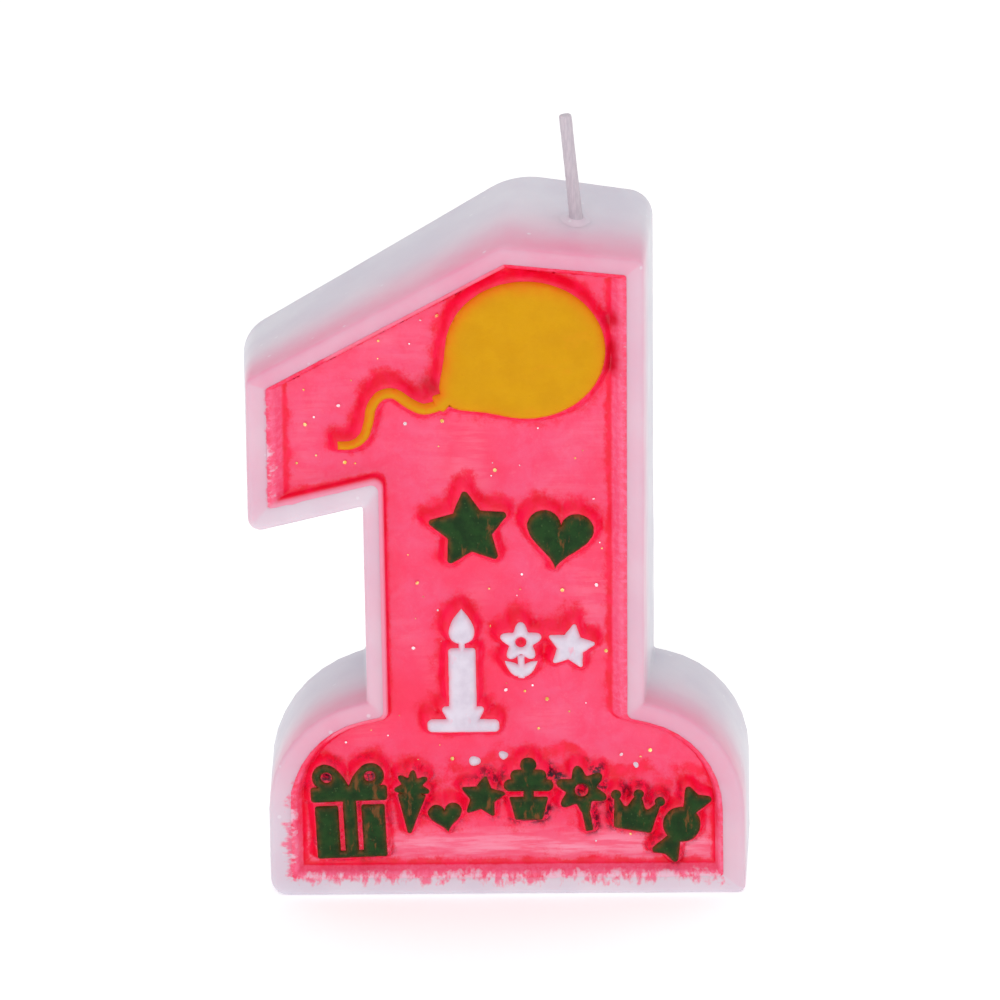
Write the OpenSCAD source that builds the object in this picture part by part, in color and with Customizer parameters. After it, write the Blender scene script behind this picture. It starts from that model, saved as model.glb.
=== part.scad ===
// Number birthday candle: a cast wax numeral one with a recessed, coloured front panel.
// Millimetres. +Z up, the numeral is read from the front, looking along +Y, with +X to the right.
// Origin: bottom centre, at the middle of the width and of the thickness.

/* [Wax body] */
// Thickness from the front rim to the back
body_t = 20; // [17:0.5:24]
// Height of the front apex above the base
apex_z = 80.3; // [79.5:0.1:81.5]
// Height of the flag's outer tip on the front face
flag_top_z = 64.3; // [63:0.1:65.5]
// Height of the flag's lower corner on the front face
flag_low_z = 45.4; // [45:0.1:46.5]
// How far the flag reaches left of the centre line on the front face
flag_reach = 28.2; // [27.4:0.1:28.6]
// Stem side left of the centre line on the front face
stem_left = 15; // [14.4:0.1:15.4]
// Stem side right of the centre line on the front face
stem_right = 17.4; // [17:0.1:17.8]
// Plinth side left of the centre line on the front face
plinth_left = 26.8; // [26.6:0.1:27.4]
// Plinth side right of the centre line on the front face
plinth_right = 29; // [28.8:0.1:29.2]

/* [Recess and colour coat] */
// Width of the rim round the recessed panel
rim_w = 2.1; // [1.6:0.1:2.6]
// Depth of the recess in the wax
recess_depth = 2.3; // [1.8:0.1:3]
// Thickness of the pink colour coat
coat_t = 0.3; // [0.2:0.05:0.4]

/* [Wick] */
// Wick diameter
wick_d = 1.5; // [1.2:0.1:2]
// Free length above the wax
wick_free = 13.5; // [8:0.5:20]
// Lean of the free stub towards the flag, in degrees
wick_lean = 5; // [0:0.5:12]
// Wax left under the wick's lower end
wick_floor = 5; // [3:0.5:10]

/* [Reliefs] */
// Radius of the balloon
balloon_r = 8.8; // [7.5:0.1:9]
// Width of the balloon's string
string_w = 1.4; // [1:0.1:1.8]
// Tip radius of the large green star
star_r = 5.2; // [4:0.1:5.6]
// Width of the large green heart
heart_w = 7.8; // [6:0.1:8.2]
// Height of the white candle, foot to flame tip
candle_h = 15.4; // [14:0.1:16]
// Width of the gift box lid
gift_w = 9; // [8:0.1:9.4]

/* [Hidden] */
$fn = 48;

arc_steps = 7;              // segments in each rounded corner of an outline
front_y = -body_t / 2;
back_y = body_t / 2;
floor_y = front_y + recess_depth;
coat_y = floor_y - coat_t;  // the coloured surface that the reliefs stand on
relief_h = coat_y - front_y;

wick_x = 10.2;
wick_y = -1;
wick_bend_z = 79.9;

wax_colour = [0.90, 0.86, 0.90];
pink = [0.96, 0.36, 0.50];
yellow = [0.87, 0.62, 0.08];
green = [0.12, 0.30, 0.12];
white_wax = [0.92, 0.88, 0.92];

// Outline corners as [x, z, corner radius], anticlockwise seen from the front.
// The mould opens at the back, so the back outline is larger and rounder than the front.
corners_front = [
    [-plinth_left, 0, 2],
    [plinth_right, 0, 0.9],
    [plinth_right, 21, 13.5],
    [stem_right, 23.9, 0.3],
    [stem_right + 0.6, apex_z - 1.7, 1],
    [1.5, apex_z, 2],
    [-flag_reach, flag_top_z, 1],
    [-flag_reach - 0.2, flag_low_z, 1.4],
    [-stem_left, flag_low_z + 3.2, 0.3],
    [-stem_left, 24.3, 0.3],
    [-plinth_left, 21.6, 13.4]
];
corners_back = [
    [-plinth_left - 0.5, 0, 1.8],
    [plinth_right + 0.5, 0, 1.2],
    [plinth_right + 0.5, 21.1, 12.5],
    [stem_right + 1, 23.7, 0.5],
    [stem_right + 1.5, apex_z + 0.3, 3.2],
    [2.8, apex_z + 2.8, 9],
    [-flag_reach - 1.3, flag_top_z - 0.5, 5],
    [-flag_reach - 1.3, flag_low_z - 0.6, 1.8],
    [-stem_left - 0.9, flag_low_z + 2.8, 0.8],
    [-stem_left - 0.9, 23.8, 0.8],
    [-plinth_left - 0.5, 20, 15]
];

// For each edge, from the base anticlockwise: how much wider the rim is than rim_w, and how
// far the wall slopes in from there to the recess floor. The outer sides slope the most.
rim_extra = [0.3, 0.6, 0.1, 0, 0, 0, 0.4, 0.5, -0.1, 0.1, 0.6];
wall_run = [0.8, 0.6, 0.4, 1.6, 0.4, 0.4, 1.6, 0.3, 0.3, 0.4, 1];

// Inner corners hardly grow rounder as the outline moves in.
inner_corner_growth = 0.3;

// ---- plane geometry ----

function unit(v) = v / norm(v);
function turned(v, a) = [v[0] * cos(a) - v[1] * sin(a), v[0] * sin(a) + v[1] * cos(a)];
function along(p, i, step) =
    let (n = len(p), a = p[(i + n + min(step, 0)) % n], b = p[(i + n + max(step, 0)) % n])
    unit([b[0] - a[0], b[1] - a[1]]);
function turn_of(u, v) = atan2(u[0] * v[1] - u[1] * v[0], u[0] * v[0] + u[1] * v[1]);

// The points of one corner's arc, for a corner that turns left or right.
function corner_arc(p, i) =
    let (u = along(p, i, -1), v = along(p, i, 1), turn = turn_of(u, v), side = sign(turn),
         r = p[i][2], reach = r * tan(abs(turn) / 2),
         start = [p[i][0], p[i][1]] - reach * u,
         spoke = side * r * [u[1], -u[0]],
         centre = start - spoke)
    [for (k = [0 : arc_steps]) centre + turned(spoke, turn * k / arc_steps)];

function rounded(p) = [for (i = [0 : len(p) - 1]) each corner_arc(p, i)];

// The same corners with edge i moved d[i] inwards, their radii changed to keep the corners'
// arcs nearly parallel. Edge i runs from corner i to the next one.
function inset_edges(p, d) = [for (i = [0 : len(p) - 1])
    let (u = along(p, i, -1), v = along(p, i, 1), turn = turn_of(u, v),
         before = d[(i + len(p) - 1) % len(p)], after = d[i],
         shift = (before * v - after * u) / sin(turn))
    [p[i][0] + shift[0], p[i][1] + shift[1],
        max(p[i][2] - (turn > 0 ? 1 : -inner_corner_growth) * (before + after) / 2, 0.25)]];

function inset(p, d) = inset_edges(p, [for (corner = p) d]);

function mixed(a, b, t) = [for (i = [0 : len(a) - 1]) a[i] + t * (b[i] - a[i])];

// One ring of the numeral at depth y, moved inset_d inwards.
function numeral_ring(y, inset_d) =
    let (t = (y - front_y) / body_t)
    [for (q = rounded(inset(mixed(corners_front, corners_back, t), inset_d))) [q[0], y, q[1]]];

// One ring of the recess wall: slope 0 at the rim, 1 at the recess floor.
function recess_ring(y, slope, inset_d = 0) =
    let (reach = [for (i = [0 : len(wall_run) - 1])
        rim_w + rim_extra[i] + slope * wall_run[i] + inset_d])
    [for (q = rounded(inset_edges(corners_front, reach))) [q[0], y, q[1]]];

function fan(hub, rim) = [for (k = [0 : len(rim) - 2]) [hub, rim[k], rim[k + 1]]];

// Triangles that fill one ring: a fan over the plinth, one behind the right stem foot,
// and one over the stem and flag. Each hub sees all of its fan inside the outline.
function cap() =
    let (m = arc_steps + 1, n = 11 * m)
    [for (t = concat(
        fan(3 * m, [for (k = [9 * m : n + 3 * m - 1]) k % n]),
        fan(9 * m, [for (k = [3 * m : 4 * m - 1]) k]),
        fan(4 * m, [for (k = [4 * m + 1 : 9 * m]) k]),
        [[4 * m, 9 * m, 4 * m - 1]]))
        t];

// A closed solid through rings of equal length, from the back cap to the front cap.
module loft(rings) {
    n = len(rings[0]);
    last = len(rings) - 1;
    skin = [for (k = [0 : last - 1]) for (i = [0 : n - 1])
        let (a = k * n + i, b = k * n + (i + 1) % n)
        each [[a, b + n, b], [a, a + n, b + n]]];
    back_cap = cap();
    front_cap = [for (t = cap()) [t[0], t[2], t[1]] + last * n * [1, 1, 1]];
    polyhedron([for (r = rings) each r], concat(skin, back_cap, front_cap), convexity = 8);
}

// ---- flat shapes of the reliefs ----

function star_corners(r, waist, n, tip_r, dip_r) = [for (k = [0 : 2 * n - 1])
    let (tip = k % 2 == 0, a = 90 + k * 180 / n, reach = tip ? r : r * waist)
    [reach * cos(a), reach * sin(a), tip ? tip_r : dip_r]];

module star_shape(r, waist = 0.52) {
    polygon(rounded(star_corners(r, waist, 5, 0.08 * r, 0.06 * r)));
}

module heart_shape(w) {
    polygon([for (a = [0 : 7.5 : 352.5])
        [-16 * pow(sin(a), 3), 13 * cos(a) - 5 * cos(2 * a) - 2 * cos(3 * a) - cos(4 * a)] * w / 32]);
}

// A drop with its point up, centred on its middle.
module drop_shape(w, h) {
    polygon([for (a = [0 : 7.5 : 352.5])
        [-0.65 * w * sin(a) * sin(a / 2), 0.5 * h * cos(a)]]);
}

module flower_shape(r, petals, hole_r) {
    difference() {
        polygon([for (a = [0 : 5 : 355])
            r * (0.8 + 0.2 * cos(petals * (a - 90))) * [cos(a), sin(a)]]);
        circle(hole_r);
    }
}

module band(w, h, r) {
    polygon(rounded([[-w / 2, 0, r], [w / 2, 0, r], [w / 2, h, r], [-w / 2, h, r]]));
}

// A flat shape at [x, z], raised from the coat to the level of the rim.
module relief(x, z, turn = 0) {
    translate([x, coat_y, z])
        rotate([90, 0, 0])
            linear_extrude(relief_h)
                rotate(turn)
                    children();
}

// ---- body, coat and wick ----

module body_blank() {
    loft([
        numeral_ring(back_y, 0.9),
        numeral_ring(back_y - 0.25, 0.25),
        numeral_ring(back_y - 0.9, 0),
        numeral_ring(front_y + 0.5, 0),
        numeral_ring(front_y + 0.15, 0.15),
        numeral_ring(front_y, 0.5),
        recess_ring(front_y, 0),
        recess_ring(floor_y, 1)
    ]);
}

module wax_body() {
    color(wax_colour)
        difference() {
            body_blank();
            wick_solid();
        }
}

module pink_panel_coat() {
    color(pink)
        loft([
            recess_ring(floor_y, 1),
            recess_ring(front_y, 0),
            recess_ring(front_y, 0, coat_t),
            recess_ring(coat_y, 1, coat_t)
        ]);
}

// A straight cord in the wax and the leaning stub, joined at the bend by a ball that
// is just thick enough to cover both ends.
module wick_solid() {
    translate([wick_x, wick_y, wick_floor])
        cylinder(d = wick_d, h = wick_bend_z - wick_floor);
    translate([wick_x, wick_y, wick_bend_z]) {
        sphere(r = wick_d / 2 + 0.02);
        rotate([0, -wick_lean, 0])
            cylinder(d = wick_d, h = wick_free + 0.5);
    }
}

module wick() {
    color([0.86, 0.80, 0.83])
        wick_solid();
}

// Wax drawn up round the wick where it leaves the body.
module wick_collar() {
    foot_r = wick_d / 2 + 1.5;
    rise = 1.4;
    color(wax_colour)
        difference() {
            translate([wick_x, wick_y, wick_bend_z - 0.6])
                rotate_extrude()
                    difference() {
                        square([foot_r, rise + 1]);
                        translate([foot_r, rise + 1])
                            circle(r = rise);
                    }
            body_blank();
            wick_solid();
        }
}

// ---- balloon ----

balloon_x = 4.2;
balloon_z = 67.6;
neck_turn = 213; // direction of the neck from the balloon's centre

function balloon_edge(a) =
    let (off = abs((a - neck_turn + 540) % 360 - 180))
    balloon_r * (1 + 0.05 * cos(2 * a)) + 2.4 * exp(-pow(off / 18, 2));

module balloon() {
    color(yellow)
        relief(balloon_x, balloon_z)
            polygon([for (a = [0 : 4 : 356]) balloon_edge(a) * [cos(a), sin(a)]]);
}

module balloon_knot() {
    knot_at = balloon_edge(neck_turn) * [cos(neck_turn), sin(neck_turn)];
    color(yellow)
        difference() {
            relief(balloon_x + knot_at[0], balloon_z + knot_at[1], neck_turn)
                polygon(rounded([[-0.8, -0.9, 0.1], [0.9, -1.3, 0.3], [0.9, 1.1, 0.3], [-0.8, 0.7, 0.1]]));
            balloon();
        }
}

// The string's middle line, from the knot to its free end.
string_path = [[-5.6, 61.1], [-7.6, 60.5], [-9.3, 61.2], [-11, 62.4], [-12.6, 62.2],
    [-13.7, 60.8], [-14.1, 58.9], [-14.7, 57.2], [-16, 56.2], [-17.7, 56.1]];

// A smooth point on the middle line: Catmull-Rom through the path, s in path steps.
function on_string(s) =
    let (last = len(string_path) - 1, i = min(floor(s), last - 1), t = s - i,
         a = string_path[max(i - 1, 0)], b = string_path[i],
         c = string_path[i + 1], d = string_path[min(i + 2, last)])
    0.5 * (2 * b + (c - a) * t + (2 * a - 5 * b + 4 * c - d) * t * t + (3 * b - a - 3 * c + d) * t * t * t);

module balloon_string() {
    last = len(string_path) - 1;
    steps = [for (s = [0 : 0.25 : last]) s];
    function side_of(s) = let (u = unit(on_string(min(s + 0.05, last)) - on_string(max(s - 0.05, 0))))
        string_w / 2 * (1 - 0.3 * s / last) * [-u[1], u[0]];
    color(yellow)
        difference() {
            relief(0, 0)
                polygon(concat(
                    [for (s = steps) on_string(s) + side_of(s)],
                    [for (k = [len(steps) - 1 : -1 : 0]) on_string(steps[k]) - side_of(steps[k])]));
            balloon_knot();
        }
}

// ---- upper row ----

module star_green() {
    color(green)
        relief(-2.7, 45.6, 6)
            star_shape(star_r);
}

module heart_green() {
    color(green)
        relief(7.8, 44.8, -8)
            heart_shape(heart_w);
}

// ---- middle row ----

module candle_white() {
    flame_h = 4.4;
    stick_top = candle_h - flame_h - 0.5;
    color(white_wax)
        relief(-3.8, 20.4) {
            band(8.4, 1.6, 0.6);
            translate([0, 1])
                polygon(rounded([[-1.6, 0, 0.1], [1.6, 0, 0.1], [2.7, 2.2, 0.4], [-2.7, 2.2, 0.4]]));
            translate([0, 2.5])
                band(3.2, stick_top - 2.5, 0.4);
            translate([0, stick_top - 0.5])
                band(0.7, 1.5, 0.1);
            translate([0, candle_h - flame_h / 2])
                drop_shape(3, flame_h);
        }
}

module flower_white() {
    color(white_wax)
        relief(3.1, 31.6) {
            flower_shape(2.5, 5, 0.65);
            translate([0, -4.5])
                band(0.8, 2.9, 0.2);
            for (side = [-1, 1])
                translate([side * 0.9, -3.2])
                    rotate(-side * 50)
                        drop_shape(1.4, 2.6);
        }
}

module star_white() {
    color(white_wax)
        relief(8.9, 31, -10)
            star_shape(3.1);
}

// ---- lower row ----

module gift_box() {
    box_h = 6.6;
    ribbon_w = 1.6;
    panel_w = gift_w / 2 - 0.4 - ribbon_w / 2 - 0.55;
    color(green)
        relief(-17.1, 4.7, 2) {
            band(gift_w - 0.8, 0.9, 0.3);
            band(ribbon_w, box_h + 1, 0.1);
            for (side = [-1, 1])
                translate([side * (ribbon_w / 2 + 0.55 + panel_w / 2), 0])
                    band(panel_w, box_h, 0.3);
            translate([0, box_h + 0.5])
                band(gift_w, 1.9, 0.4);
            for (side = [-1, 1])
                translate([side * 2, box_h + 3.3])
                    rotate(side * 116)
                        difference() {
                            drop_shape(3.1, 4.6);
                            translate([0, -0.6])
                                circle(0.65);
                        }
        }
}

module ice_cream_cone() {
    color(green)
        relief(-10.4, 7.1, -4) {
            polygon(rounded([[0, 0, 0.25], [1.7, 5.6, 0.2], [-1.7, 5.6, 0.2]]));
            translate([0, 6.4])
                flower_shape(2.15, 7, 0);
        }
}

module small_heart() {
    color(green)
        relief(-6.1, 9.9, 8)
            heart_shape(4);
}

module small_star() {
    color(green)
        relief(-1.7, 12.2, -8)
            star_shape(2.9);
}

module cupcake() {
    color(green)
        relief(3.7, 9.3) {
            polygon(rounded([[-1.6, 0, 0.3], [1.6, 0, 0.3], [2.3, 2.9, 0.2], [-2.3, 2.9, 0.2]]));
            translate([0, 3.6])
                band(5.8, 1.5, 0.7);
            translate([0, 4.8])
                band(4.2, 1.5, 0.7);
            translate([0, 2.6])
                band(1.2, 1.6, 0.1);
            translate([0, 6.9])
                circle(0.95);
        }
}

module party_flower() {
    color(green)
        relief(9.9, 13, 10) {
            flower_shape(3.1, 6, 0.8);
            translate([0, -5.2])
                band(0.9, 3, 0.2);
        }
}

module crown() {
    color(green)
        relief(15.8, 7.9, -10) {
            polygon(rounded([[-2.2, 0, 0.3], [2.2, 0, 0.3], [2.9, 4.6, 0.3], [1.2, 2.6, 0.3],
                [0, 5.2, 0.3], [-1.2, 2.6, 0.3], [-2.9, 4.6, 0.3]]));
            for (tip = [[-2.6, 4.1], [0, 4.6], [2.6, 4.1]])
                translate(tip)
                    circle(0.6);
        }
}

module wrapped_sweet() {
    color(green)
        relief(21.6, 8.6, 62) {
            circle(2.2);
            for (end = [0, 180])
                rotate(end)
                    polygon(rounded([[1.7, -0.7, 0.1], [4.9, -2, 0.4], [4.2, 0, 0.4],
                        [4.9, 2, 0.4], [1.7, 0.7, 0.1]]));
        }
}

// ---- small trim ----

// Loose flecks lying on the coat, as [x, z].
fleck_places = [[-14.5, 48], [-17.6, 60.6], [-6, 71.5], [15, 66], [-21.5, 58.3], [-17, 53.6],
    [-9.9, 58.3], [-5.6, 58.6], [14, 57], [0.4, 52.5], [-8.9, 38.6], [12, 38.2], [8, 37.6],
    [1.2, 25.2], [6, 24], [-5.2, 16.6], [14.6, 17], [18, 17.5], [-9.5, 30.5], [13, 30]];

module glitter_flecks() {
    color([0.85, 0.72, 0.40])
        for (i = [0 : len(fleck_places) - 1])
            translate([fleck_places[i][0], coat_y, fleck_places[i][1]])
                rotate([90, 25 * i, 0])
                    cylinder(d = 0.5, h = 0.12, $fn = 6);
}

// Dabs of white wax that dripped on the coat, as [x, z, radius].
dab_places = [[-2.6, 16.2, 0.8], [0.8, 16.9, 0.7], [16.3, 15.6, 0.5]];

module wax_dabs() {
    color(white_wax)
        for (d = dab_places)
            intersection() {
                translate([d[0], coat_y + 0.3 * d[2], d[1]])
                    sphere(r = d[2]);
                translate([d[0] - 1, coat_y - 2, d[1] - 1])
                    cube([2, 2, 2]);
            }
}

wax_body();
pink_panel_coat();
wick();
wick_collar();
balloon();
balloon_knot();
balloon_string();
star_green();
heart_green();
candle_white();
flower_white();
star_white();
gift_box();
ice_cream_cone();
small_heart();
small_star();
cupcake();
party_flower();
crown();
wrapped_sweet();
glitter_flecks();
wax_dabs();
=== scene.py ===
import math

import bpy
import numpy as np
from mathutils import Matrix, Vector, noise
from mathutils.geometry import delaunay_2d_cdt


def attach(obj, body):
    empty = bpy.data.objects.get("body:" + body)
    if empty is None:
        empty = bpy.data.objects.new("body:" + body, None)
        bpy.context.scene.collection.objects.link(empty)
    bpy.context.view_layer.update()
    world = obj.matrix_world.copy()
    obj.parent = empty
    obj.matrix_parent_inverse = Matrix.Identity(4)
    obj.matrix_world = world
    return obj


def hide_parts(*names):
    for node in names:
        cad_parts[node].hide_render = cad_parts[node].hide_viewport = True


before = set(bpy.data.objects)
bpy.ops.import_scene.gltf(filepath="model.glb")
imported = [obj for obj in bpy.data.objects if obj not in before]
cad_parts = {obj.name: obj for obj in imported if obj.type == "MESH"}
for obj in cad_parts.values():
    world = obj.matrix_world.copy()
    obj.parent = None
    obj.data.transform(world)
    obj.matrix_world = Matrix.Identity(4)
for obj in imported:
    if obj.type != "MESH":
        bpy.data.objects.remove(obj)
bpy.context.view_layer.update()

MM = 0.001
UP = np.array([0.0, 0.0, 1.0])

# ---- sizes of the candle, in millimetres, as in the CAD model ----

BODY_T = 20.0
FRONT_Y, BACK_Y = -BODY_T / 2, BODY_T / 2
APEX_Z, FLAG_TOP_Z, FLAG_LOW_Z = 80.3, 64.3, 45.4
FLAG_REACH, STEM_LEFT, STEM_RIGHT = 28.2, 15.0, 17.4
PLINTH_LEFT, PLINTH_RIGHT = 26.8, 29.0
RIM_W, RECESS_DEPTH, COAT_T = 2.1, 2.3, 0.3
FLOOR_Y = FRONT_Y + RECESS_DEPTH
COAT_Y = FLOOR_Y - COAT_T
RIM_Y = FRONT_Y + 0.05        # the fine mesh keeps a hair inside the CAD box
RIM_EXTRA = np.array([0.3, 0.6, 0.1, 0, 0, 0, 0.4, 0.5, -0.1, 0.1, 0.6])
WALL_RUN = np.array([0.8, 0.6, 0.4, 1.6, 0.4, 0.4, 1.6, 0.3, 0.3, 0.4, 1.0])
INNER_CORNER_GROWTH = 0.3
WICK_X, WICK_Y, WICK_BEND_Z, WICK_LEAN, WICK_R = 10.2, -1.0, 79.9, math.radians(5), 0.75
WICK_FLOOR, WICK_FREE = 5.0, 14.0

# Outline corners as (x, z, corner radius), anticlockwise seen from the front.
CORNERS_FRONT = np.array([
    (-PLINTH_LEFT, 0, 2), (PLINTH_RIGHT, 0, 0.9), (PLINTH_RIGHT, 21, 13.5),
    (STEM_RIGHT, 23.9, 0.3), (STEM_RIGHT + 0.6, APEX_Z - 1.7, 1), (1.5, APEX_Z, 2),
    (-FLAG_REACH, FLAG_TOP_Z, 1), (-FLAG_REACH - 0.2, FLAG_LOW_Z, 1.4),
    (-STEM_LEFT, FLAG_LOW_Z + 3.2, 0.3), (-STEM_LEFT, 24.3, 0.3), (-PLINTH_LEFT, 21.6, 13.4)])
CORNERS_BACK = np.array([
    (-PLINTH_LEFT - 0.5, 0, 1.8), (PLINTH_RIGHT + 0.5, 0, 1.2), (PLINTH_RIGHT + 0.5, 21.1, 12.5),
    (STEM_RIGHT + 1, 23.7, 0.5), (STEM_RIGHT + 1.5, APEX_Z + 0.3, 3.2), (2.8, APEX_Z + 2.8, 9),
    (-FLAG_REACH - 1.3, FLAG_TOP_Z - 0.5, 5), (-FLAG_REACH - 1.3, FLAG_LOW_Z - 0.6, 1.8),
    (-STEM_LEFT - 0.9, FLAG_LOW_Z + 2.8, 0.8), (-STEM_LEFT - 0.9, 23.8, 0.8),
    (-PLINTH_LEFT - 0.5, 20, 15)])

ARC_STEPS = 8                 # points on each rounded corner
EDGE_PITCH = 0.6              # spacing of points along the straight edges
LEAST_RADIUS = 0.25           # of any corner
ROW_SPACING = 0.866           # rows of the honeycomb, as a share of its pitch
MERGE_GAP = 1e-7              # points nearer than this count as one
FAR = 1e9                     # further than anything here
XZ = [0, 2]


# ---- outlines ----

def unit(v):
    return v / np.linalg.norm(v)


def unit_rows(v):
    return v / np.maximum(np.linalg.norm(v, axis=1, keepdims=True), 1e-9)


def cross2(u, v):
    return u[0] * v[1] - u[1] * v[0]


def corner_turns(corners):
    """Each corner's direction in, direction out and turn."""
    xz = corners[:, :2]
    ins = [unit(xz[i] - xz[i - 1]) for i in range(len(xz))]
    outs = ins[1:] + ins[:1]
    return [(u, v, math.atan2(cross2(u, v), float(u @ v))) for u, v in zip(ins, outs)]


def moved_in(corners, depth):
    """The same corners with edge i moved depth[i] inwards."""
    depth = np.broadcast_to(np.asarray(depth, float), (len(corners),))
    moved = []
    for i, (u, v, turn) in enumerate(corner_turns(corners)):
        before, after = depth[i - 1], depth[i]
        shift = (before * v - after * u) / math.sin(turn)
        growth = -1 if turn > 0 else INNER_CORNER_GROWTH
        radius = max(corners[i][2] + growth * (before + after) / 2, LEAST_RADIUS)
        moved.append((corners[i][0] + shift[0], corners[i][1] + shift[1], radius))
    return np.array(moved)


def corner_arc(corner, u, v, turn):
    side, radius = math.copysign(1, turn), corner[2]
    start = corner[:2] - radius * math.tan(abs(turn) / 2) * u
    spoke = side * radius * np.array([u[1], -u[0]])
    centre = start - spoke
    steps = turn * np.arange(ARC_STEPS + 1) / ARC_STEPS
    return [centre + (spoke[0] * math.cos(a) - spoke[1] * math.sin(a),
                      spoke[0] * math.sin(a) + spoke[1] * math.cos(a)) for a in steps]


def edge_counts():
    """Points between neighbouring corners, the same for every ring so that rings can be joined."""
    arcs = [corner_arc(c, *t) for c, t in zip(CORNERS_FRONT, corner_turns(CORNERS_FRONT))]
    gaps = [np.linalg.norm(arcs[(i + 1) % len(arcs)][0] - arcs[i][-1]) for i in range(len(arcs))]
    return [max(2, int(round(gap / EDGE_PITCH))) for gap in gaps]


EDGE_COUNTS = edge_counts()


def outline(corners):
    arcs = [corner_arc(c, *t) for c, t in zip(corners, corner_turns(corners))]
    points = []
    for i, arc in enumerate(arcs):
        points += arc
        target = arcs[(i + 1) % len(arcs)][0]
        for k in range(1, EDGE_COUNTS[i]):
            points.append(arc[-1] + (target - arc[-1]) * k / EDGE_COUNTS[i])
    return np.array(points)


def ring3(flat, y):
    return np.column_stack([flat[:, 0], np.broadcast_to(y, (len(flat),)), flat[:, 1]])


def body_ring(y, depth):
    t = (y - FRONT_Y) / BODY_T
    return ring3(outline(moved_in(CORNERS_FRONT + t * (CORNERS_BACK - CORNERS_FRONT), depth)), y)


def recess_ring(y, slope, depth=0.0):
    return ring3(outline(moved_in(CORNERS_FRONT, RIM_W + RIM_EXTRA + slope * WALL_RUN + depth)), y)


def inside(points, loops):
    """Which points lie inside the closed loops, by the even-odd rule."""
    hit = np.zeros(len(points), bool)
    for loop in loops:
        for a, b in zip(loop, np.roll(loop, -1, axis=0)):
            crosses = (a[1] > points[:, 1]) != (b[1] > points[:, 1])
            if a[1] != b[1]:
                at = a[0] + (points[:, 1] - a[1]) * (b[0] - a[0]) / (b[1] - a[1])
                hit ^= crosses & (points[:, 0] < at)
    return hit


def nearest(points, loops):
    """Distance from each point to the loops, and the nearest place on them."""
    best = np.full(len(points), FAR)
    place = np.zeros((len(points), 2))
    for loop in loops:
        for a, b in zip(loop, np.roll(loop, -1, axis=0)):
            edge = b - a
            length2 = max(float(edge @ edge), 1e-12)
            t = np.clip((points - a) @ edge / length2, 0, 1)
            foot = a + t[:, None] * edge
            gap = np.hypot(*(points - foot).T)
            closer = gap < best
            best[closer] = gap[closer]
            place[closer] = foot[closer]
    return best, place


def triangles_in(points, loops):
    """Triangles over the points, inside the loops and facing the front. The loops' points come
    first, in order, and every edge of a loop is kept."""
    edges, first = [], 0
    for loop in loops:
        n = len(loop)
        edges += [(first + k, first + (k + 1) % n) for k in range(n)]
        first += n
    found, _, faces, origins, _, _ = delaunay_2d_cdt(
        [Vector(p) for p in points.tolist()], edges, [], 0, MERGE_GAP)
    assert len(found) == len(points)
    source = np.array([o[0] for o in origins])
    triangles = source[np.array([list(f) for f in faces])]
    triangles = triangles[inside(points[triangles].mean(axis=1), loops)]
    # anticlockwise in (x, z), so that they face the front
    a, b, c = (points[triangles[:, k]] for k in range(3))
    flip = (b[:, 0] - a[:, 0]) * (c[:, 1] - a[:, 1]) < (b[:, 1] - a[:, 1]) * (c[:, 0] - a[:, 0])
    triangles[flip] = triangles[flip][:, ::-1]
    return triangles


def fill(loops, pitch, clearance, seed):
    """The loops' points and, inside them, a slightly irregular honeycomb, with triangles over all."""
    rim = np.vstack(loops)
    low, high = rim.min(axis=0), rim.max(axis=0)
    rows = np.arange(low[1], high[1], pitch * ROW_SPACING)
    columns = np.arange(low[0], high[0], pitch)
    x, z = np.meshgrid(columns, rows)
    x = x + (np.arange(len(rows)) % 2)[:, None] * pitch / 2
    inner = np.column_stack([x.ravel(), z.ravel()])
    inner = inner + np.random.default_rng(seed).uniform(-0.12, 0.12, inner.shape) * pitch
    inner = inner[inside(inner, loops)]
    inner = inner[nearest(inner, loops)[0] > clearance]
    points = np.vstack([rim, inner])
    return points, triangles_in(points, loops)


# ---- meshes ----

SHARP_FROM = math.radians(60)   # edges that turn more than this keep a crisp line


def wave(points, size, seed=0.0):
    """Smooth noise from -1 to 1 with features about that size, in millimetres."""
    return np.array([noise.noise(Vector(p / size) + Vector((seed, seed * 1.7, -seed)))
                     for p in np.atleast_2d(points)])


def smooth(low, high, value):
    t = np.clip((value - low) / (high - low), 0, 1)
    return t * t * (3 - 2 * t)


def make_piece(name, points, faces, material, replaced=(), values=None, shade=True):
    mesh = bpy.data.meshes.new(name)
    mesh.from_pydata((np.asarray(points) * MM).tolist(), [], [list(map(int, f)) for f in faces])
    mesh.validate()
    for key, numbers in (values or {}).items():
        layer = mesh.attributes.new(key, "FLOAT", "POINT")
        layer.data.foreach_set("value", np.asarray(numbers, np.float32))
    mesh.polygons.foreach_set("use_smooth", [shade] * len(mesh.polygons))
    if shade:
        mesh.set_sharp_from_angle(angle=SHARP_FROM)
    mesh.materials.append(material)
    mesh.update()
    piece = bpy.data.objects.new(name, mesh)
    bpy.context.scene.collection.objects.link(piece)
    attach(piece, "root")
    if replaced:
        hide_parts(*replaced)
    return piece


def stack_faces(rings, count, first=0):
    """Quads over a stack of rings of count points each. The first ring's points start at first."""
    k = np.arange(count)
    after = (k + 1) % count
    quads = []
    for low in range(first, first + (rings - 1) * count, count):
        high = low + count
        quads += np.column_stack([low + k, low + after, high + after, high + k]).tolist()
    return quads


# ---- materials ----

def linear(red, green, blue):
    """An sRGB colour from 0 to 255 as Blender's linear one."""
    def channel(v):
        v /= 255
        return v / 12.92 if v <= 0.04045 else ((v + 0.055) / 1.055) ** 2.4
    return (channel(red), channel(green), channel(blue), 1)


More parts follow.
